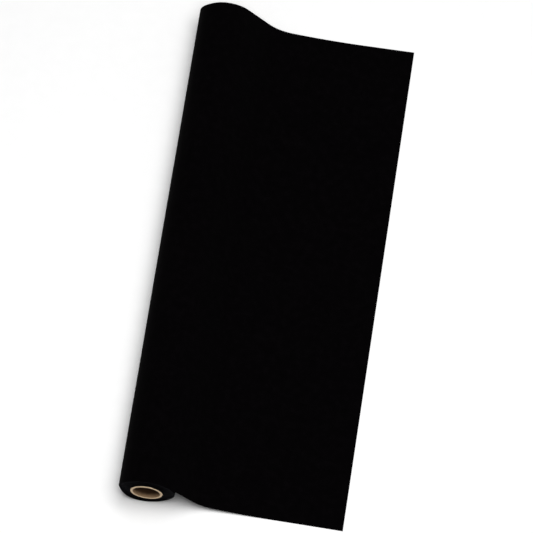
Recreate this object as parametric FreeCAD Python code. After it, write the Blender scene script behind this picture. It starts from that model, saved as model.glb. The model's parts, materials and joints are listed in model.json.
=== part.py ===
import FreeCAD, Part
import math
import os

# Backdrop paper roll: a sheet of seamless paper wound on a spiral-wound board core.
# The sheet comes off the top of the roll, curves down to the floor and lies flat there.
#
# Frame, in millimetres: the origin is on the axis of the core's bore at mid-length.
# +Y runs along the axis, +X runs across the floor the way the paper feeds, +Z is up.

V = FreeCAD.Vector
ORIGIN = V(0, 0, 0)
X_AXIS = V(1, 0, 0)
Y_AXIS = V(0, 1, 0)
Z_AXIS = V(0, 0, 1)

# ---------------------------------------------------------------- driving dimensions

# paper
paper_width = 660.0         # width of the sheet, along the roll
paper_thickness = 0.2
wound_length = 10700.0      # paper still on the roll
turn_pitch = 0.24           # radial growth per turn: the paper and the air wound in with it

# core
bore_diameter = 34.0
board_thickness = 0.47      # one ply
glue_film = 0.03            # between one ply and the next
body_ply_count = 4          # plies between the liner and the wrap
core_proud = 2.3            # the core stands out past the paper at each end

# starter tape, which holds the paper's inner end on the core
tape_thickness = 0.15
tape_width = 25.0           # around the core
tape_length = 60.0          # along the core
tape_count = 3
tape_end_margin = 40.0      # from the paper's edge to the first tape
tape_flats = 12             # narrow flats that the tape is bent over the core in

# path of the free sheet, from the line where it leaves the roll
departure_angle = 51.3      # past the top of the roll, in degrees
straight_run = 43.4         # straight fall after it leaves the roll
bend_angle = 7.7            # slope left after the tight bend, in degrees
landing_reach = 180.0       # from the roll's axis to the line where the sheet lies flat
leaf_length = 64.6          # flat part, from the landing line to the free edge

# clearances
tape_cover = 0.05           # the first turn of paper over the tape
sheet_clearance = 0.3       # free sheet over the turning roll
leaf_gap = 0.3              # between the curved part and the flat part that slides

# ---------------------------------------------------------------- sizes that follow

bore_radius = bore_diameter / 2
core_length = paper_width + 2 * core_proud
ply_count = body_ply_count + 2
ply_step = board_thickness + glue_film
core_radius = bore_radius + ply_count * board_thickness + (ply_count - 1) * glue_film
winding_radius = core_radius + tape_thickness + tape_cover
roll_radius = math.sqrt(winding_radius ** 2 + wound_length * turn_pitch / math.pi)
floor_height = -roll_radius


# ---------------------------------------------------------------- helpers

def along_y(shape):
    """Turn a shape made along Z so that it lies along Y."""
    turned = shape.copy()
    turned.rotate(ORIGIN, X_AXIS, -90)
    return turned


def tube(inner, outer, length):
    """Tube centred on the origin, along Z."""
    bottom = V(0, 0, -length / 2)
    wall = Part.makeCylinder(outer, length, bottom)
    return wall.cut(Part.makeCylinder(inner, length, bottom))


def write(name, shape):
    """Write one sub-part and say how large it is."""
    solids = shape.Solids
    body = solids[0] if len(solids) == 1 else Part.makeCompound(solids)
    body.exportStep("parts/" + name + ".step")
    box = body.optimalBoundingBox()
    print("%-14s %2d solid(s) %12.1f mm3  x %8.2f %8.2f  y %8.2f %8.2f  z %8.2f %8.2f" % (
        name, len(solids), body.Volume, box.XMin, box.XMax, box.YMin, box.YMax, box.ZMin, box.ZMax))


# ---------------------------------------------------------------- core

def core_ply(index):
    """One ply of the core, counted from the bore: strip seams closed, as a whole tube."""
    inner = bore_radius + index * ply_step
    return along_y(tube(inner, inner + board_thickness, core_length))


# ---------------------------------------------------------------- starter tape

def tape_section():
    """Section of a tape across the core: narrow flats that each touch the wrap along a line."""
    half_flat = tape_width / core_radius / tape_flats / 2
    inner = core_radius / math.cos(half_flat)
    outer = (core_radius + tape_thickness) / math.cos(half_flat)
    angles = [2 * half_flat * step for step in range(tape_flats + 1)]
    corners = [V(outer * math.cos(angle), outer * math.sin(angle), 0) for angle in angles]
    corners += [V(inner * math.cos(angle), inner * math.sin(angle), 0) for angle in reversed(angles)]
    return Part.Face(Part.makePolygon(corners + corners[:1]))


def starter_tape():
    """Short tapes spaced along the core, lying on its wrap under the first turn."""
    tape = tape_section().extrude(Z_AXIS * tape_length)
    first = -paper_width / 2 + tape_end_margin
    last = -first - tape_length
    pieces = []
    for number in range(tape_count):
        piece = tape.copy()
        piece.translate(Z_AXIS * (first + number * (last - first) / (tape_count - 1)))
        pieces.append(along_y(piece))
    return Part.makeCompound(pieces)


# ---------------------------------------------------------------- paper

def wound_paper():
    """All the turns that are on the roll."""
    return along_y(tube(winding_radius, roll_radius, paper_width))


def fall_line(slope):
    """Direction of travel and outward direction of a sheet that falls at a slope."""
    along = V(math.cos(slope), 0, -math.sin(slope))
    outward = V(math.sin(slope), 0, math.cos(slope))
    return along, outward


def bend_radii(run, drop, slope, gentle):
    """Radii of the tight and the gentle bend that lay the sheet flat over a run and a drop."""
    tight_run = math.sin(slope) - math.sin(gentle)
    tight_drop = math.cos(gentle) - math.cos(slope)
    gentle_run = math.sin(gentle)
    gentle_drop = 1 - math.cos(gentle)
    scale = tight_run * gentle_drop - gentle_run * tight_drop
    tight_radius = (run * gentle_drop - gentle_run * drop) / scale
    gentle_radius = (tight_run * drop - tight_drop * run) / scale
    return tight_radius, gentle_radius


def bend(start, slope, end_slope, radius):
    """Arc edge of the sheet that eases from one slope to a gentler one, and its end."""
    centre = start + fall_line(slope)[1] * radius
    middle = centre - fall_line((slope + end_slope) / 2)[1] * radius
    end = centre - fall_line(end_slope)[1] * radius
    return Part.Arc(start, middle, end).toShape(), end


def sheet_edges(offset):
    """Edges of one face of the curved sheet, at an offset from its middle, and their ends."""
    slope = math.radians(departure_angle)
    gentle = math.radians(bend_angle)
    along, outward = fall_line(slope)
    leave = outward * (roll_radius + sheet_clearance + paper_thickness / 2)
    bend_start = leave + along * straight_run
    run = landing_reach - bend_start.x
    drop = bend_start.z - (floor_height + paper_thickness / 2)
    tight_radius, gentle_radius = bend_radii(run, drop, slope, gentle)

    first = leave + outward * offset
    second = bend_start + outward * offset
    straight = Part.LineSegment(first, second).toShape()
    tight_bend, third = bend(second, slope, gentle, tight_radius - offset)
    gentle_bend, last = bend(third, gentle, 0, gentle_radius - offset)
    return [straight, tight_bend, gentle_bend], first, last


def paper_drape():
    """Curved part of the free sheet, from the roll to the landing line."""
    upper, upper_start, upper_end = sheet_edges(paper_thickness / 2)
    lower, lower_start, lower_end = sheet_edges(-paper_thickness / 2)
    ends = [
        Part.LineSegment(lower_start, upper_start).toShape(),
        Part.LineSegment(lower_end, upper_end).toShape(),
    ]
    outline = Part.Wire(Part.__sortEdges__(upper + lower + ends))
    sheet = Part.Face(outline).extrude(Y_AXIS * paper_width)
    sheet.translate(V(0, -paper_width / 2, 0))
    return sheet


def paper_leaf():
    """Flat part of the free sheet, up to its free edge."""
    corner = V(landing_reach + leaf_gap, -paper_width / 2, floor_height)
    return Part.makeBox(leaf_length - leaf_gap, paper_width, paper_thickness, corner)


# ---------------------------------------------------------------- sub-parts

os.makedirs("parts", exist_ok=True)

print("roll radius %.3f, core radius %.3f, core length %.1f" % (roll_radius, core_radius, core_length))
write("core_liner", core_ply(0))
for number in range(1, body_ply_count + 1):
    write("core_ply_%d" % number, core_ply(number))
write("core_wrap", core_ply(ply_count - 1))
write("starter_tape", starter_tape())
write("wound_paper", wound_paper())
write("paper_drape", paper_drape())
write("paper_leaf", paper_leaf())
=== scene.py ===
"""Looks of a roll of backdrop paper: a black sheet wound on a board core and drawn out flat."""

import json
import logging
import math
from dataclasses import dataclass, field
from enum import Enum
from typing import Callable

import bmesh
import bpy
from mathutils import Matrix, Vector, noise


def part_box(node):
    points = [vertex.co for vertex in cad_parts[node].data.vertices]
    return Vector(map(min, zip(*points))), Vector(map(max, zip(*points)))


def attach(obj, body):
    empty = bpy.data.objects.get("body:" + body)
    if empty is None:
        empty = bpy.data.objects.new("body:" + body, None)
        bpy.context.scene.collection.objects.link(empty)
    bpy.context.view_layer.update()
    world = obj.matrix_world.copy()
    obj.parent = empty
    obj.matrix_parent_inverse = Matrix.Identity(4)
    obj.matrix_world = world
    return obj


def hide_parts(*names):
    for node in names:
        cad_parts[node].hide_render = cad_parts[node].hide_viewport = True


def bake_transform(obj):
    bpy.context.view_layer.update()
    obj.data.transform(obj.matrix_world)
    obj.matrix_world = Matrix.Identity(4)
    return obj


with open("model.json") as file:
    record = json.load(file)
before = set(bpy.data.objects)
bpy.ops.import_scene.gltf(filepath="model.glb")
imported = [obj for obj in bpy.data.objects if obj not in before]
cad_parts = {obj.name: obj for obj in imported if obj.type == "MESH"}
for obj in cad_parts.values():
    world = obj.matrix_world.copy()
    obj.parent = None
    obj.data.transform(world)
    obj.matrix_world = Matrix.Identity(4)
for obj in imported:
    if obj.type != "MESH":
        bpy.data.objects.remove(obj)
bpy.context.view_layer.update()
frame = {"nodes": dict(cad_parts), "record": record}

LOG = logging.getLogger("paper_roll")
MM = 0.001
TURN = 2 * math.pi
SHEEN_ROUGHNESS = 0.45
SHARP_ANGLE = math.radians(40)

Colour = tuple[float, float, float, float]


# ------------------------------------------------------------------ node helpers

class Coordinates(Enum):
    """Which coordinates a pattern is drawn in."""

    OBJECT = "Object"
    UV = "UV"


class Shader:
    """A material with one Principled shader, built up node by node."""

    def __init__(self, name: str, roughness: float, specular: float, sheen: float = 0.0) -> None:
        """Start the material.

        Args:
            name: Name of the material.
            roughness: Roughness of the whole surface.
            specular: Specular level of the whole surface.
            sheen: Weight of the soft fibre sheen.
        """
        self.material = bpy.data.materials.new(name)
        self.material.use_nodes = True
        self.tree = self.material.node_tree
        self.surface = self.tree.nodes["Principled BSDF"]
        self.set("Roughness", roughness)
        self.set("Specular IOR Level", specular)
        self.set("Sheen Weight", sheen)
        self.set("Sheen Roughness", SHEEN_ROUGHNESS)

    def set(self, socket: str, value: float | Colour) -> None:
        """Give one of the shader's own sockets a constant value."""
        self.surface.inputs[socket].default_value = value

    def link(self, output: bpy.types.NodeSocket, target: bpy.types.NodeSocket) -> None:
        """Join two sockets."""
        self.tree.links.new(output, target)

    def add(self, kind: str, **settings: object) -> bpy.types.Node:
        """Add a node.

        Args:
            kind: Kind of node.
            settings: Properties to set on it.

        Returns:
            The new node.
        """
        node = self.tree.nodes.new(kind)
        for key, value in settings.items():
            setattr(node, key, value)
        return node

    def coordinates(self, source: Coordinates, scale: Vector, turn: float = 0.0) -> bpy.types.NodeSocket:
        """Coordinates stretched along each axis.

        Args:
            source: Object or UV coordinates.
            scale: Features per metre along each axis.
            turn: Angle about Z that the pattern is turned by, in radians.

        Returns:
            The vector output.
        """
        place = self.add("ShaderNodeTexCoord")
        turned = self.add("ShaderNodeMapping")
        turned.inputs["Rotation"].default_value = (0, 0, turn)
        self.link(place.outputs[source.value], turned.inputs["Vector"])
        mapping = self.add("ShaderNodeMapping")
        mapping.inputs["Scale"].default_value = scale
        self.link(turned.outputs["Vector"], mapping.inputs["Vector"])
        return mapping.outputs["Vector"]

    def noise(self, vector: bpy.types.NodeSocket, detail: float, roughness: float = 0.5,
              distortion: float = 0.0) -> bpy.types.NodeSocket:
        """Noise of about unit size in the given coordinates.

        Args:
            vector: Coordinates to draw it in.
            detail: Octaves of finer noise.
            roughness: Weight of each finer octave.
            distortion: How far the pattern is pulled about.

        Returns:
            The noise, from 0 to 1.
        """
        texture = self.add("ShaderNodeTexNoise")
        texture.inputs["Scale"].default_value = 1.0
        texture.inputs["Detail"].default_value = detail
        texture.inputs["Roughness"].default_value = roughness
        texture.inputs["Distortion"].default_value = distortion
        self.link(vector, texture.inputs["Vector"])
        return texture.outputs["Fac"]

    def math(self, operation: str, *values: bpy.types.NodeSocket | float) -> bpy.types.NodeSocket:
        """Put sockets and constants through a Math node.

        Args:
            operation: Name of the operation.
            values: Sockets or constants, in the node's order.

        Returns:
            The result.
        """
        node = self.add("ShaderNodeMath", operation=operation)
        for index, value in enumerate(values):
            if isinstance(value, (int, float)):
                node.inputs[index].default_value = value
            else:
                self.link(value, node.inputs[index])
        return node.outputs[0]

    def ramp(self, factor: bpy.types.NodeSocket, stops: list[tuple[float, Colour]]) -> bpy.types.NodeSocket:
        """Read a colour off a ramp.

        Args:
            factor: Where to read it, from 0 to 1.
            stops: Position and colour of each stop.

        Returns:
            The colour.
        """
        node = self.add("ShaderNodeValToRGB")
        elements = node.color_ramp.elements
        while len(elements) < len(stops):
            elements.new(1.0)
        for element, (position, colour) in zip(elements, stops):
            element.position = position
            element.color = colour
        self.link(factor, node.inputs["Fac"])
        return node.outputs["Color"]

    def mix(self, factor: bpy.types.NodeSocket | float, first: bpy.types.NodeSocket | Colour,
            second: bpy.types.NodeSocket | Colour) -> bpy.types.NodeSocket:
        """Blend two colours.

        Args:
            factor: Share of the second colour.
            first: Colour at 0.
            second: Colour at 1.

        Returns:
            The blend.
        """
        node = self.add("ShaderNodeMix", data_type="RGBA")
        for socket, value in ((node.inputs[0], factor), (node.inputs[6], first), (node.inputs[7], second)):
            if isinstance(value, bpy.types.NodeSocket):
                self.link(value, socket)
            else:
                socket.default_value = value
        return node.outputs[2]

    def bump(self, heights: list[tuple[bpy.types.NodeSocket, float]]) -> None:
        """Raise the surface by several height patterns.

        Args:
            heights: Each pattern with its depth in metres.
        """
        normal = None
        for height, depth in heights:
            node = self.add("ShaderNodeBump")
            node.inputs["Strength"].default_value = 1.0
            node.inputs["Distance"].default_value = depth
            self.link(height, node.inputs["Height"])
            if normal is not None:
                self.link(normal, node.inputs["Normal"])
            normal = node.outputs["Normal"]
        self.link(normal, self.surface.inputs["Normal"])

    def colour(self, source: bpy.types.NodeSocket) -> None:
        """Use a pattern as the base colour."""
        self.link(source, self.surface.inputs["Base Color"])


def shade(colour: Colour, share: float) -> Colour:
    """A colour made lighter or darker by a share."""
    return (colour[0] * share, colour[1] * share, colour[2] * share, 1.0)


# ------------------------------------------------------------------ finishes

@dataclass(frozen=True)
class BackdropPaperFinish:
    """Matte dyed paper: short felted fibres over the cloudy formation of the sheet."""

    name: str = "black_backdrop_paper"
    colour: Colour = (0.00105, 0.00082, 0.00104, 1.0)
    fibre_length: float = 0.9 * MM
    fibre_width: float = 0.14 * MM
    cloud_size: float = 9.0 * MM
    roughness: float = 0.95
    specular: float = 0.007
    sheen: float = 0.007

    def build(self) -> bpy.types.Material:
        """Make the material.

        Returns:
            The material.
        """
        shader = Shader(self.name, self.roughness, self.specular, self.sheen)
        along = Vector((1 / self.fibre_length, 1 / self.fibre_width, 1 / self.fibre_width))
        across = Vector((1 / self.fibre_width, 1 / self.fibre_length, 1 / self.fibre_width))
        first = shader.noise(shader.coordinates(Coordinates.OBJECT, along, 0.35), 2.0, 0.6, 0.4)
        second = shader.noise(shader.coordinates(Coordinates.OBJECT, across, 0.35), 2.0, 0.6, 0.4)
        fibres = shader.math("MAXIMUM", first, second)
        size = 1 / self.cloud_size
        cloud = shader.noise(shader.coordinates(Coordinates.OBJECT, Vector((size, size, size))), 3.0)
        tone = shader.math("ADD", shader.math("MULTIPLY", fibres, 0.65), shader.math("MULTIPLY", cloud, 0.35))
        shader.colour(shader.ramp(tone, [
            (0.35, shade(self.colour, 0.6)),
            (0.55, self.colour),
            (0.75, shade(self.colour, 2.2)),
        ]))
        shader.bump([(cloud, 0.05 * MM), (fibres, 0.035 * MM)])
        return shader.material


@dataclass(frozen=True)
class PaperEdgeFinish:
    """Knife-cut edge of the dyed paper, where broken fibres catch a little more light."""

    name: str = "black_paper_cut_edge"
    colour: Colour = (0.0034, 0.0033, 0.0044, 1.0)
    grain: float = 0.25 * MM
    patch: float = 6.0 * MM

    def build(self) -> bpy.types.Material:
        """Make the material.

        Returns:
            The material.
        """
        shader = Shader(self.name, 0.9, 0.02)
        fine = 1 / self.grain
        broad = 1 / self.patch
        grain = shader.noise(shader.coordinates(Coordinates.OBJECT, Vector((fine, fine, fine))), 3.0)
        patch = shader.noise(shader.coordinates(Coordinates.OBJECT, Vector((broad, broad, broad))), 2.0)
        tone = shader.math("MULTIPLY", grain, shader.math("ADD", patch, 0.5))
        shader.colour(shader.ramp(tone, [
            (0.25, shade(self.colour, 0.45)),
            (0.5, self.colour),
            (0.75, shade(self.colour, 2.0)),
        ]))
        shader.bump([(grain, 0.05 * MM)])
        return shader.material


@dataclass(frozen=True)
class BoardFaceFinish:
    """Face of a strip of board: long fibres along the strip, flecks, and the seam of its turns."""

    name: str
    colour: Colour
    fleck: Colour
    strip_angle: float
    seam_pitch: float
    seam_phase: float
    worn_and_lit_lip_colour: Colour
    half_length: float
    worn_and_lit_lip_reach: float = 8.0 * MM
    seam_width: float = 0.35 * MM
    fibre_length: float = 5.0 * MM
    fibre_width: float = 0.30 * MM
    mottles_per_metre: float = 160.0
    flecks_along: float = 900.0
    flecks_across: float = 1500.0
    fleck_threshold: float = 0.71

    def build(self) -> bpy.types.Material:
        """Make the material. UV runs round the tube in metres, then along it in metres.

        Returns:
            The material.
        """
        shader = Shader(self.name, 0.82, 0.25)
        along = Vector((1 / self.fibre_length, 1 / self.fibre_width, 1.0))
        fibre_place = shader.coordinates(Coordinates.UV, along, -self.strip_angle)
        fibres = shader.noise(fibre_place, 4.0, 0.62, 0.25)
        mottle_scale = Vector((self.mottles_per_metre, self.mottles_per_metre, 1.0))
        mottle_place = shader.coordinates(Coordinates.UV, mottle_scale)
        mottle = shader.noise(mottle_place, 3.0)
        fleck_scale = Vector((self.flecks_along, self.flecks_across, 1.0))
        fleck_place = shader.coordinates(Coordinates.UV, fleck_scale, -self.strip_angle)
        fleck = shader.noise(fleck_place, 2.0, 0.7)
        tone = shader.math("ADD", shader.math("MULTIPLY", fibres, 0.7), shader.math("MULTIPLY", mottle, 0.3))
        base = shader.ramp(tone, [
            (0.30, shade(self.colour, 0.80)),
            (0.50, self.colour),
            (0.72, shade(self.colour, 1.16)),
        ])
        # Paler towards the sawn ends: wear, and on the liner also a painted highlight of the lit bore mouth.
        base = shader.mix(self.worn_and_lit_lip_mask(shader, mottle), base, self.worn_and_lit_lip_colour)
        flecks = shader.math("GREATER_THAN", fleck, self.fleck_threshold)
        base = shader.mix(shader.math("MULTIPLY", flecks, 0.55), base, self.fleck)
        seam = self.seam(shader)
        shader.colour(shader.mix(shader.math("MULTIPLY", seam, 0.6), base, shade(self.colour, 0.35)))
        groove = shader.math("SUBTRACT", 1.0, seam)
        shader.bump([(mottle, 0.06 * MM), (fibres, 0.05 * MM), (groove, 0.12 * MM)])
        return shader.material

    def worn_and_lit_lip_mask(self, shader: Shader, mottle: bpy.types.NodeSocket) -> bpy.types.NodeSocket:
        """Paler band towards the sawn ends, in patches: wear, and on the liner also a painted highlight where
        the mouth of the bore is lit.

        Args:
            shader: Material being built.
            mottle: Pattern that makes its edge ragged.

        Returns:
            0 inside, 1 at the rim.
        """
        place = shader.add("ShaderNodeTexCoord")
        split = shader.add("ShaderNodeSeparateXYZ")
        shader.link(place.outputs["UV"], split.inputs[0])
        from_middle = shader.math("ABSOLUTE", split.outputs[1])
        from_end = shader.math("SUBTRACT", self.half_length, from_middle)
        ragged = shader.math("ADD", from_end, shader.math("MULTIPLY", mottle, -0.3 * self.worn_and_lit_lip_reach))
        wear_and_lit_lip_node = shader.add("ShaderNodeMapRange", interpolation_type="SMOOTHSTEP")
        wear_and_lit_lip_node.inputs["From Min"].default_value = 0.75 * self.worn_and_lit_lip_reach
        wear_and_lit_lip_node.inputs["From Max"].default_value = 0.0
        shader.link(ragged, wear_and_lit_lip_node.inputs["Value"])
        return wear_and_lit_lip_node.outputs["Result"]

    def seam(self, shader: Shader) -> bpy.types.NodeSocket:
        """Seam that runs in a helix between two turns of the strip.

        Args:
            shader: Material being built.

        Returns:
            1 on the seam, 0 elsewhere.
        """
        place = shader.add("ShaderNodeTexCoord")
        split = shader.add("ShaderNodeSeparateXYZ")
        shader.link(place.outputs["UV"], split.inputs[0])
        rise = shader.math("MULTIPLY", split.outputs[0], math.tan(self.strip_angle))
        height = shader.math("SUBTRACT", split.outputs[1], rise)
        turns = shader.math("ADD", shader.math("DIVIDE", height, self.seam_pitch), 100 + self.seam_phase)
        share = shader.math("FRACT", turns)
        half = self.seam_width / self.seam_pitch
        return shader.math("LESS_THAN", share, half)


@dataclass(frozen=True)
class BoardCutFinish:
    """Sawn end of the board: torn fibres in thin layers round the bore."""

    name: str
    colour: Colour
    layer: float = 0.11 * MM
    tuft: float = 0.5 * MM

    def build(self) -> bpy.types.Material:
        """Make the material.

        Returns:
            The material.
        """
        shader = Shader(self.name, 0.95, 0.12, 0.15)
        place = shader.add("ShaderNodeTexCoord")
        split = shader.add("ShaderNodeSeparateXYZ")
        shader.link(place.outputs["Object"], split.inputs[0])
        square = shader.math("ADD", shader.math("MULTIPLY", split.outputs[0], split.outputs[0]),
                             shader.math("MULTIPLY", split.outputs[2], split.outputs[2]))
        radius = shader.math("SQRT", square)
        tuft_size = 1 / self.tuft
        tufts = shader.noise(shader.coordinates(Coordinates.OBJECT, Vector((tuft_size,) * 3)), 4.0, 0.65)
        ring = shader.math("ADD", shader.math("DIVIDE", radius, self.layer),
                           shader.math("MULTIPLY", tufts, 1.6))
        layers = shader.math("ABSOLUTE", shader.math("SINE", ring))
        tone = shader.math("ADD", shader.math("MULTIPLY", layers, 0.45), shader.math("MULTIPLY", tufts, 0.55))
        shader.colour(shader.ramp(tone, [
            (0.2, shade(self.colour, 0.62)),
            (0.5, self.colour),
            (0.8, shade(self.colour, 1.25)),
        ]))
        shader.bump([(layers, 0.05 * MM), (tufts, 0.12 * MM)])
        return shader.material


@dataclass(frozen=True)
class CrepeTapeFinish:
    """Creped paper tape: fine ridges across its length under a waxy face."""

    name: str = "crepe_paper_tape"
    colour: Colour = (0.62, 0.47, 0.25, 1.0)
    ridge: float = 0.5 * MM

    def build(self) -> bpy.types.Material:
        """Make the material.

        Returns:
            The material.
        """
        shader = Shader(self.name, 0.55, 0.4)
        ridges = Vector((0.2 / self.ridge, 1 / self.ridge, 0.2 / self.ridge))
        crepe = shader.noise(shader.coordinates(Coordinates.OBJECT, ridges), 3.0, 0.6, 0.5)
        shader.colour(shader.ramp(crepe, [
            (0.3, shade(self.colour, 0.78)),
            (0.7, shade(self.colour, 1.1)),
        ]))
        shader.bump([(crepe, 0.08 * MM)])
        return shader.material


@dataclass(frozen=True)
class StudioFloorFinish:
    """Pale painted sweep that the roll lies on."""

    name: str = "pale_floor"
    colour: Colour = (0.86, 0.86, 0.86, 1.0)

    def build(self) -> bpy.types.Material:
        """Make the material.

        Returns:
            The material.
        """
        shader = Shader(self.name, 0.7, 0.2)
        grain = shader.noise(shader.coordinates(Coordinates.OBJECT, Vector((60.0, 60.0, 60.0))), 3.0)
        shader.colour(shader.ramp(grain, [(0.3, shade(self.colour, 0.985)), (0.7, self.colour)]))
        return shader.material


# ------------------------------------------------------------------ mesh helpers

def finish_object(name: str, mesh: bmesh.types.BMesh, materials: list[bpy.types.Material],
                  smooth: bool = True) -> bpy.types.Object:
    """Turn a bmesh into an object at the origin.

    Args:
        name: Name of the piece.
        mesh: The finished bmesh, which is freed.
        materials: Materials in the order of the faces' material indices.
        smooth: Whether faces are shaded smooth.

    Returns:
        The new object.
    """
    data = bpy.data.meshes.new(name)
    mesh.to_mesh(data)
    mesh.free()
    for material in materials:
        data.materials.append(material)
    for polygon in data.polygons:
        polygon.use_smooth = smooth
    piece = bpy.data.objects.new(name, data)
    bpy.context.scene.collection.objects.link(piece)
    return piece


def paper_grid(steps: int, rows: int, place: Callable[[float, float], Vector]) -> bmesh.types.BMesh:
    """Flat sheet of paper laid along a path.

    Args:
        steps: Cells along the path.
        rows: Cells across the width.
        place: Gives the point for a share of the path and a share of the width, each from 0 to 1.

    Returns:
        The sheet's middle surface.
    """
    mesh = bmesh.new()
    bmesh.ops.create_grid(mesh, x_segments=steps, y_segments=rows, size=0.5)
    for vertex in mesh.verts:
        vertex.co = place(vertex.co.x + 0.5, vertex.co.y + 0.5)
    return mesh


def give_thickness(piece: bpy.types.Object, thickness: float, edge_slot: int) -> None:
    """Make a sheet as thick as it is, half to each side, with a sharp cut edge.

    Args:
        piece: The sheet's middle surface.
        thickness: Thickness of the sheet, in metres.
        edge_slot: Material slot of the cut edge.
    """
    solid = piece.modifiers.new("thickness", "SOLIDIFY")
    solid.thickness = thickness
    solid.offset = 0.0
    solid.use_even_offset = True
    solid.material_offset_rim = edge_slot
    thin = piece.data
    piece.data = bpy.data.meshes.new_from_object(piece.evaluated_get(bpy.context.evaluated_depsgraph_get()))
    piece.data.name = thin.name
    piece.modifiers.clear()
    bpy.data.meshes.remove(thin)
    piece.data.set_sharp_from_angle(angle=SHARP_ANGLE)


def wander(position: float, seed: float, size: float) -> float:
    """Smooth random value between about -1 and 1 that changes over a distance."""
    return noise.noise(Vector((position / size, seed, seed * 0.37)))


# ------------------------------------------------------------------ paper

@dataclass
class SheetPath:
    """Path of the free sheet in X and Z, from the line where it leaves the roll to its free edge."""

    roll_radius: float
    thickness: float
    landing: float
    free_edge: float
    floor: float
    departure_angle: float = math.radians(50.0)
    straight_run: float = 44.5 * MM
    bend_angle: float = math.radians(7.7)
    stretches: list[tuple[float, Callable[[float], tuple[Vector, float]]]] = field(default_factory=list)

    def __post_init__(self) -> None:
        """Work out the bends and the length of each stretch."""
        slope, gentle = self.departure_angle, self.bend_angle
        self.start = self.outward(slope) * (self.roll_radius - self.thickness / 2)
        fall_end = self.start + self.along(slope) * self.straight_run
        level = self.floor + self.thickness / 2
        tight_run, tight_drop = math.sin(slope) - math.sin(gentle), math.cos(gentle) - math.cos(slope)
        gentle_run, gentle_drop = math.sin(gentle), 1 - math.cos(gentle)
        run, drop = self.landing - fall_end.x, fall_end.z - level
        scale = tight_run * gentle_drop - gentle_run * tight_drop
        tight = (run * gentle_drop - gentle_run * drop) / scale
        wide = (tight_run * drop - tight_drop * run) / scale
        bend_end = fall_end + (self.outward(slope) - self.outward(gentle)) * tight
        landed = Vector((self.landing, 0, level))
        self.stretches = [
            (self.straight_run, self.straight(self.start, slope)),
            (tight * (slope - gentle), self.arc(fall_end, slope, tight)),
            (wide * gentle, self.arc(bend_end, gentle, wide)),
            (self.free_edge - self.landing, self.straight(landed, 0.0)),
        ]

    @staticmethod
    def along(slope: float) -> Vector:
        """Direction of travel on a downward slope."""
        return Vector((math.cos(slope), 0, -math.sin(slope)))

    @staticmethod
    def outward(slope: float) -> Vector:
        """Direction away from the roll on a downward slope."""
        return Vector((math.sin(slope), 0, math.cos(slope)))

    def straight(self, start: Vector, slope: float) -> Callable[[float], tuple[Vector, float]]:
        """Straight stretch from a point."""
        return lambda distance: (start + self.along(slope) * distance, slope)

    def arc(self, start: Vector, slope: float, radius: float) -> Callable[[float], tuple[Vector, float]]:
        """Arc that eases a downward slope.

        Args:
            start: Where the arc starts.
            slope: Downward slope there.
            radius: Radius of the arc.

        Returns:
            Function from distance to point and slope.
        """
        centre = start + self.outward(slope) * radius
        return lambda distance: (
            centre - self.outward(slope - distance / radius) * radius, slope - distance / radius)

    @property
    def length(self) -> float:
        """Length of the free sheet."""
        return sum(length for length, _ in self.stretches)

    def at(self, distance: float) -> tuple[Vector, float]:
        """Find a place on the path.

        Args:
            distance: Distance from where the sheet leaves the roll.

        Returns:
            Point and downward slope.
        """
        for length, stretch in self.stretches[:-1]:
            if distance <= length:
                return stretch(distance)
            distance -= length
        return self.stretches[-1][1](distance)


@dataclass(frozen=True)
class Dent:
    """Place where the edges of the outer turns have been knocked in at one end of the roll."""

    side: int
    angle: float
    depth: float
    spread: float
    turns: float = 30.0

    def at(self, back: float, angle: float, across: float) -> float:
        """How far the paper is pushed in towards mid-length.

        Args:
            back: Turns in from the free sheet.
            angle: Angle past the top of the roll.
            across: Share of the width, from the near edge to the far one.

        Returns:
            The push along the core, in metres.
        """
        away = math.remainder(angle - self.angle, TURN)
        from_edge = across if self.side < 0 else 1 - across
        strength = math.exp(-(away / self.spread) ** 2 - (back / self.turns) ** 2 - from_edge * 40)
        return -self.side * self.depth * strength * min(1.0, back / 0.2)


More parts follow.
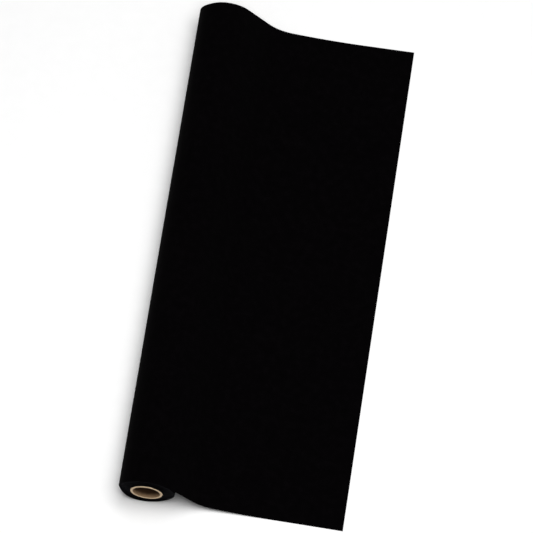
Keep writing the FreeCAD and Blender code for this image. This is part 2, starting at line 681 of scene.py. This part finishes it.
@dataclass
class BackdropSheet:
    """The one sheet of paper: its turns on the roll and the free length drawn off it."""

    roll_radius: float
    winding_radius: float
    half_width: float
    thickness: float
    path: SheetPath
    turn_pitch: float = 0.24 * MM
    steps_per_turn: int = 96
    core_pull: float = 2.2 * MM
    recess: float = 0.35 * MM
    stand_out: float = -1.1 * MM
    free_shift: float = -0.2 * MM
    skew: float = -0.9 * MM
    flare: float = 1.3 * MM
    swell_height: float = 0.28 * MM
    swell_ease: float = 0.2
    loosening: float = 60 * MM
    outer_rows: int = 110
    free_steps: int = 150
    free_rows: int = 120
    dents: tuple[Dent, ...] = (
        Dent(-1, math.radians(262), 4.2 * MM, math.radians(28)),
        Dent(-1, math.radians(128), 2.4 * MM, math.radians(42)),
        Dent(1, math.radians(215), 1.4 * MM, math.radians(30), 12.0),
        Dent(1, math.radians(318), 0.9 * MM, math.radians(22), 8.0),
    )

    @property
    def outer(self) -> float:
        """Radius of the middle of the outermost turn."""
        return self.roll_radius - self.thickness / 2

    @property
    def turns(self) -> float:
        """Number of turns on the roll."""
        return (self.outer - self.winding_radius - self.thickness / 2) / self.turn_pitch

    def edge_shift(self, back: float) -> float:
        """How far the sheet has wandered along the core.

        Args:
            back: Turns in from the free sheet.

        Returns:
            The shift, in metres.
        """
        depth = back / self.turns
        settled = 1 - math.exp(-back / 1.5)
        drift = 0.30 * wander(back, 3.1, 5.0) + 0.22 * wander(back, 8.7, 1.3) + 0.10 * wander(back, 4.4, 0.3)
        outer_turns = math.exp(-(back / 16.0) ** 2)
        stand_out = self.free_shift + (self.stand_out - self.free_shift) * min(1.0, back / 0.3)
        shift = self.recess + (stand_out - self.recess) * outer_turns
        return shift + settled * drift * MM - self.core_pull * depth ** 6

    def on_roll(self, back: float, across: float) -> Vector:
        """Middle of the sheet on the roll.

        Args:
            back: Turns in from where it leaves.
            across: Share of the width, from the near edge to the far one.

        Returns:
            The point.
        """
        angle = self.path.departure_angle - TURN * back
        radius = self.outer - self.turn_pitch * back
        y = (2 * across - 1) * self.half_width + self.edge_shift(back)
        y += sum(dent.at(back, angle, across) for dent in self.dents)
        return Vector((radius * math.sin(angle), y, radius * math.cos(angle)))

    def build_inner_turns(self, face: bpy.types.Material, edge: bpy.types.Material) -> bpy.types.Object:
        """Wind the sheet on the core, from its first turn out to the last but one.

        Args:
            face: Material of both faces.
            edge: Material of the cut edges.

        Returns:
            The piece.
        """
        steps = round((self.turns - 1) * self.steps_per_turn)

        def place(share: float, across: float) -> Vector:
            """Place one point of the sheet.

            Args:
                share: Share of the length.
                across: Share of the width.

            Returns:
                The point.
            """
            return self.on_roll(self.turns - (self.turns - 1) * share, across)

        piece = finish_object("wound_sheet", paper_grid(steps, 1, place), [face, edge])
        give_thickness(piece, self.thickness, 1)
        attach(piece, "roll")
        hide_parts("wound_paper")
        return piece

    def build_outer_turn(self, face: bpy.types.Material, edge: bpy.types.Material) -> bpy.types.Object:
        """Wind the last turn, which is loose enough to stand off in long shallow swells.

        Args:
            face: Material of both faces.
            edge: Material of the cut edges.

        Returns:
            The piece.
        """

        def place(share: float, across: float) -> Vector:
            """Place one point of the sheet.

            Args:
                share: Share of the length.
                across: Share of the width.

            Returns:
                The point.
            """
            back = 1 - share
            point = self.on_roll(back, across)
            outward = Vector((point.x, 0, point.z)).normalized()
            ease = min(1.0, back / self.swell_ease, share / self.swell_ease)
            swell = 0.5 + 0.5 * wander(point.y + 0.05 * back, 6.6, 0.13) + 0.3 * wander(back, 1.9, 0.12)
            return point + outward * max(0.0, swell) * ease * self.swell_height

        piece = finish_object("outer_turn", paper_grid(self.steps_per_turn * 2, self.outer_rows, place),
                              [face, edge])
        give_thickness(piece, self.thickness, 1)
        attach(piece, "roll")
        return piece

    def build_free_sheet(self, face: bpy.types.Material, edge: bpy.types.Material) -> bpy.types.Object:
        """Lay the free sheet along its path, with the slight waves of paper that has been rolled.

        Args:
            face: Material of both faces.
            edge: Material of the cut edges.

        Returns:
            The piece.
        """
        length = self.path.length

        def place(share: float, across: float) -> Vector:
            """Place one point of the sheet.

            Args:
                share: Share of the length.
                across: Share of the width.

            Returns:
                The point.
            """
            distance = share * length
            point, slope = self.path.at(distance)
            half_width = self.half_width + self.flare * share ** 2
            y = (2 * across - 1) * half_width + self.free_shift + self.skew * share ** 2
            looseness = min(1.0, distance / self.loosening)
            wave = 0.35 * wander(distance + 0.3 * y, 5.3, 0.11) + 0.25 * wander(y, 2.2, 0.16)
            lift = max(0.0, 0.25 + wave) * looseness * MM
            point = point + self.path.outward(slope) * lift
            return Vector((point.x, y, point.z))

        piece = finish_object("free_sheet", paper_grid(self.free_steps, self.free_rows, place), [face, edge])
        give_thickness(piece, self.thickness, 1)
        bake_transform(piece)
        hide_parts("paper_drape", "paper_leaf")
        return piece


# ------------------------------------------------------------------ core

@dataclass
class BoardCore:
    """Spiral-wound core: a liner, four plies with open butt joints, and a wrap."""

    bore_radius: float
    outer_radius: float
    half_length: float
    ply_radii: list[tuple[float, float]]
    strip_width: float = 75.0 * MM
    butt_gap: float = 0.6 * MM
    worn_rim: float = 0.36 * MM
    rough_depth: float = 0.5 * MM
    end_slope: float = 0.3
    steps: int = 128

    @property
    def around(self) -> float:
        """Distance round the core at the middle of its wall."""
        return math.pi * (self.bore_radius + self.outer_radius)

    @property
    def seam_pitch(self) -> float:
        """Distance along the core from one turn of a strip to the next."""
        return self.strip_width * self.around / math.sqrt(self.around ** 2 - self.strip_width ** 2)

    def tube(self, inner: float, outer: float, seed: float) -> bmesh.types.BMesh:
        """Whole ply: its section spun once round the bore, with eased and slightly ragged ends.

        Args:
            inner: Inner radius.
            outer: Outer radius.
            seed: Sets how its ends are roughened.

        Returns:
            The ply.
        """
        mesh = bmesh.new()
        corners = [mesh.verts.new((radius, y, 0)) for radius, y in (
            (inner, -self.half_length), (outer, -self.half_length),
            (outer, self.half_length), (inner, self.half_length))]
        section = [mesh.edges.new((corners[i], corners[(i + 1) % 4])) for i in range(4)]
        bmesh.ops.spin(mesh, geom=corners + section, cent=(0, 0, 0), axis=(0, 1, 0), dvec=(0, 0, 0),
                       angle=TURN, steps=self.steps, use_merge=True, use_normal_flip=False,
                       use_duplicate=False)
        exposed = outer if outer > self.outer_radius - 0.1 * MM else inner
        rims = [edge for edge in mesh.edges if all(
            abs(vertex.co.y) > self.half_length - 0.01 * MM
            and abs(math.hypot(vertex.co.x, vertex.co.z) - exposed) < 0.01 * MM for vertex in edge.verts)]
        bmesh.ops.bevel(mesh, geom=rims, offset=self.worn_rim, affect="EDGES", segments=3, profile=0.5,
                        material=-1)
        return self.finish_ends(mesh, inner, outer, seed)

    def strip(self, inner: float, outer: float, seed: float) -> bmesh.types.BMesh:
        """Ply with an open joint: its section carried along a helix and sawn off at both ends.

        Args:
            inner: Inner radius.
            outer: Outer radius.
            seed: Sets how its ends are roughened.

        Returns:
            The ply.
        """
        pitch = self.seam_pitch
        turns = math.ceil(2 * self.half_length / pitch) + 2
        low = -turns * pitch / 2 - pitch / 2
        mesh = bmesh.new()
        corners = [mesh.verts.new((radius, y, 0)) for radius, y in (
            (inner, low + self.butt_gap), (outer, low + self.butt_gap),
            (outer, low + pitch), (inner, low + pitch))]
        section = [mesh.edges.new((corners[i], corners[(i + 1) % 4])) for i in range(4)]
        steps = turns * self.steps
        bmesh.ops.spin(mesh, geom=corners + section, cent=(0, 0, 0), axis=(0, 1, 0),
                       dvec=(0, turns * pitch / steps, 0), angle=turns * TURN, steps=steps,
                       use_merge=False, use_normal_flip=False, use_duplicate=False)
        for side in (-1, 1):
            everything = mesh.verts[:] + mesh.edges[:] + mesh.faces[:]
            cut = bmesh.ops.bisect_plane(mesh, geom=everything, dist=1e-7,
                                         plane_co=(0, side * self.half_length, 0), plane_no=(0, side, 0),
                                         clear_outer=True)
            rim = [item for item in cut["geom_cut"] if isinstance(item, bmesh.types.BMEdge)]
            bmesh.ops.holes_fill(mesh, edges=rim, sides=0)
        return self.finish_ends(mesh, inner, outer, seed)

    def finish_ends(self, mesh: bmesh.types.BMesh, inner: float, outer: float,
                    seed: float) -> bmesh.types.BMesh:
        """Point the faces outwards, mark the sawn ends, rough them up and lay out the UV map.

        Args:
            mesh: The ply.
            inner: Inner radius.
            outer: Outer radius.
            seed: Sets how the ends are roughened.

        Returns:
            The same ply.
        """
        bmesh.ops.recalc_face_normals(mesh, faces=mesh.faces[:])
        for face in mesh.faces:
            if abs(face.normal.y) > self.end_slope:
                face.material_index = 1
        middle = (inner + outer) / 2
        for vertex in mesh.verts:
            if abs(vertex.co.y) < self.half_length - self.rough_depth:
                continue
            side = math.copysign(1.0, vertex.co.y)
            angle = math.atan2(vertex.co.x, vertex.co.z)
            ragged = noise.noise(Vector((vertex.co.x * 900, vertex.co.z * 900, seed * 7 + side)))
            sawn = 0.35 * math.sin(angle + seed * 0.05 + side)
            vertex.co.y -= side * (0.12 + 0.1 * ragged + 0.1 * sawn) * MM
        layer = mesh.loops.layers.uv.new("strip")
        for face in mesh.faces:
            base = math.atan2(face.calc_center_median().x, face.calc_center_median().z)
            for loop in face.loops:
                angle = math.atan2(loop.vert.co.x, loop.vert.co.z)
                angle += TURN * round((base - angle) / TURN)
                loop[layer].uv = (angle * middle, loop.vert.co.y)
        return mesh

    def build(self, finishes: list[tuple[bpy.types.Material, bpy.types.Material]]) -> list[bpy.types.Object]:
        """Make every ply, from the liner out.

        Args:
            finishes: Face and cut material of each ply.

        Returns:
            The plies.
        """
        pieces = []
        last = len(self.ply_radii) - 1
        for index, (inner, outer) in enumerate(self.ply_radii):
            whole = index in (0, last)
            mesh = self.tube(inner, outer, index) if whole else self.strip(inner, outer, index)
            node = "core_liner" if index == 0 else "core_wrap" if index == last else f"core_ply_{index}"
            piece = finish_object(node + "_board", mesh, list(finishes[index]), smooth=False)
            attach(piece, "roll")
            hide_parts(node)
            pieces.append(piece)
        return pieces


# ------------------------------------------------------------------ studio

@dataclass
class Studio:
    """Pale floor, soft light from above and the camera."""

    floor_height: float
    elevation: float = math.radians(66.817)
    azimuth: float = math.radians(5.811)
    tilt: float = math.radians(2.825)
    distance: float = 5.4222
    shift_right: float = 98.75 * MM
    shift_up: float = -24.42 * MM
    lens: float = 291.65
    floor_size: float = 6.0
    room_light: float = 0.20
    lamp_at: tuple[float, float, float] = (0.30, -0.20, 2.6)
    lamp_size: float = 2.0
    lamp_power: float = 86.0

    def build_floor(self, finish: bpy.types.Material) -> bpy.types.Object:
        """Lay the floor under the roll.

        Args:
            finish: Material of the floor.

        Returns:
            The floor.
        """
        mesh = bmesh.new()
        bmesh.ops.create_grid(mesh, x_segments=8, y_segments=8, size=self.floor_size)
        bmesh.ops.translate(mesh, verts=mesh.verts[:], vec=(0, 0, self.floor_height - 0.05 * MM))
        floor = finish_object("floor", mesh, [finish])
        return floor

    def build_light(self) -> bpy.types.Object:
        """Hang one square soft light that faces the roll.

        Returns:
            The light.
        """
        place = Vector(self.lamp_at)
        data = bpy.data.lights.new("overhead", "AREA")
        data.size = self.lamp_size
        data.energy = self.lamp_power
        light = bpy.data.objects.new("overhead", data)
        light.matrix_world = Matrix.Translation(place) @ place.to_track_quat("Z", "Y").to_matrix().to_4x4()
        bpy.context.scene.collection.objects.link(light)
        return light

    def build_world(self) -> None:
        """Fill the room with even pale light."""
        world = bpy.data.worlds.new("room")
        world.use_nodes = True
        background = world.node_tree.nodes["Background"]
        background.inputs["Color"].default_value = (1.0, 1.0, 1.0, 1.0)
        background.inputs["Strength"].default_value = self.room_light
        bpy.context.scene.world = world

    def build_camera(self) -> bpy.types.Object:
        """Set up the camera, high over the near end of the roll.

        Returns:
            The camera.
        """
        back = Vector((
            math.sin(self.azimuth) * math.cos(self.elevation),
            -math.cos(self.azimuth) * math.cos(self.elevation),
            math.sin(self.elevation),
        ))
        level = Vector((math.cos(self.azimuth), math.sin(self.azimuth), 0))
        upright = back.cross(level)
        right = level * math.cos(self.tilt) + upright * math.sin(self.tilt)
        up = upright * math.cos(self.tilt) - level * math.sin(self.tilt)
        place = back * self.distance + right * self.shift_right + up * self.shift_up
        data = bpy.data.cameras.new("camera")
        data.lens = self.lens
        data.sensor_width = 36.0
        data.clip_end = 100.0
        camera = bpy.data.objects.new("camera", data)
        axes = Matrix((right, up, back)).transposed().to_4x4()
        camera.matrix_world = Matrix.Translation(place) @ axes
        bpy.context.scene.collection.objects.link(camera)
        bpy.context.scene.camera = camera
        return camera


# ------------------------------------------------------------------ the whole roll

def ply_radii_from_frame(bore_radius: float) -> list[tuple[float, float]]:
    """Read the plies off the frame.

    Args:
        bore_radius: Radius of the bore.

    Returns:
        Inner and outer radius of each ply, from the liner out.
    """
    outers = [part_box("core_liner")[1].z]
    outers += [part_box(f"core_ply_{number}")[1].z for number in range(1, 5)]
    outers += [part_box("core_wrap")[1].z]
    board = outers[0] - bore_radius
    return [(outer - board, outer) for outer in outers]


def main() -> None:
    """Build every piece, the floor, the lights and the camera."""
    wound_low, wound_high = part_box("wound_paper")
    leaf_low, leaf_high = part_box("paper_leaf")
    drape_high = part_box("paper_drape")[1]
    wrap_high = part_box("core_wrap")[1]
    mounts = {mount["name"]: mount for mount in frame["record"]["mounts"]}
    bore_radius = mounts["core_bore"]["dims"]["r_mm"] * MM

    paper = BackdropPaperFinish().build()
    paper_edge = PaperEdgeFinish().build()
    path = SheetPath(
        roll_radius=wound_high.z,
        thickness=leaf_high.z - leaf_low.z,
        landing=drape_high.x,
        free_edge=leaf_high.x - 0.1 * MM,
        floor=wound_low.z,
    )
    sheet = BackdropSheet(
        roll_radius=wound_high.z,
        winding_radius=wrap_high.z + 0.2 * MM,
        half_width=wound_high.y,
        thickness=path.thickness,
        path=path,
    )
    for build in (sheet.build_inner_turns, sheet.build_outer_turn, sheet.build_free_sheet):
        LOG.info("%s built", build(paper, paper_edge).name)

    core = BoardCore(
        bore_radius=bore_radius,
        outer_radius=wrap_high.z,
        half_length=wrap_high.y,
        ply_radii=ply_radii_from_frame(bore_radius),
    )
    # Liner colour: dark brown kraft, made darker still as painted shade of the deep bore.
    liner: Colour = (0.060, 0.028, 0.012, 1.0)
    # Pale liner colour at the ends: wear, and a painted highlight of the lit mouth of the bore.
    worn_and_lit_liner_mouth: Colour = (0.33, 0.215, 0.12, 1.0)
    wrap: Colour = (0.76, 0.59, 0.39, 1.0)
    grey: Colour = (0.52, 0.41, 0.29, 1.0)
    torn: Colour = (0.70, 0.53, 0.35, 1.0)
    finishes = []
    for index in range(len(core.ply_radii)):
        colour = liner if index == 0 else wrap if index == len(core.ply_radii) - 1 else grey
        face = BoardFaceFinish(
            name=f"board_face_{index}",
            colour=colour,
            worn_and_lit_lip_colour=worn_and_lit_liner_mouth if index == 0 else shade(colour, 1.1),
            half_length=core.half_length,
            fleck=shade(colour, 0.5),
            strip_angle=math.atan2(core.seam_pitch, core.around),
            seam_pitch=core.seam_pitch,
            seam_phase=index / len(core.ply_radii),
        )
        cut = BoardCutFinish(name=f"board_cut_{index}", colour=shade(torn, 1.0 - 0.07 * (index % 2)))
        finishes.append((face.build(), cut.build()))
    for piece in core.build(finishes):
        LOG.info("%s built", piece.name)

    tape = frame["nodes"]["starter_tape"]
    tape.data.materials.clear()
    tape.data.materials.append(CrepeTapeFinish().build())

    studio = Studio(floor_height=wound_low.z)
    studio.build_floor(StudioFloorFinish().build())
    studio.build_world()
    studio.build_light()
    studio.build_camera()
    bpy.context.scene.view_settings.view_transform = "Standard"


if __name__ == "__main__":
    logging.basicConfig(level=logging.INFO, format="%(name)s: %(message)s")
    main()
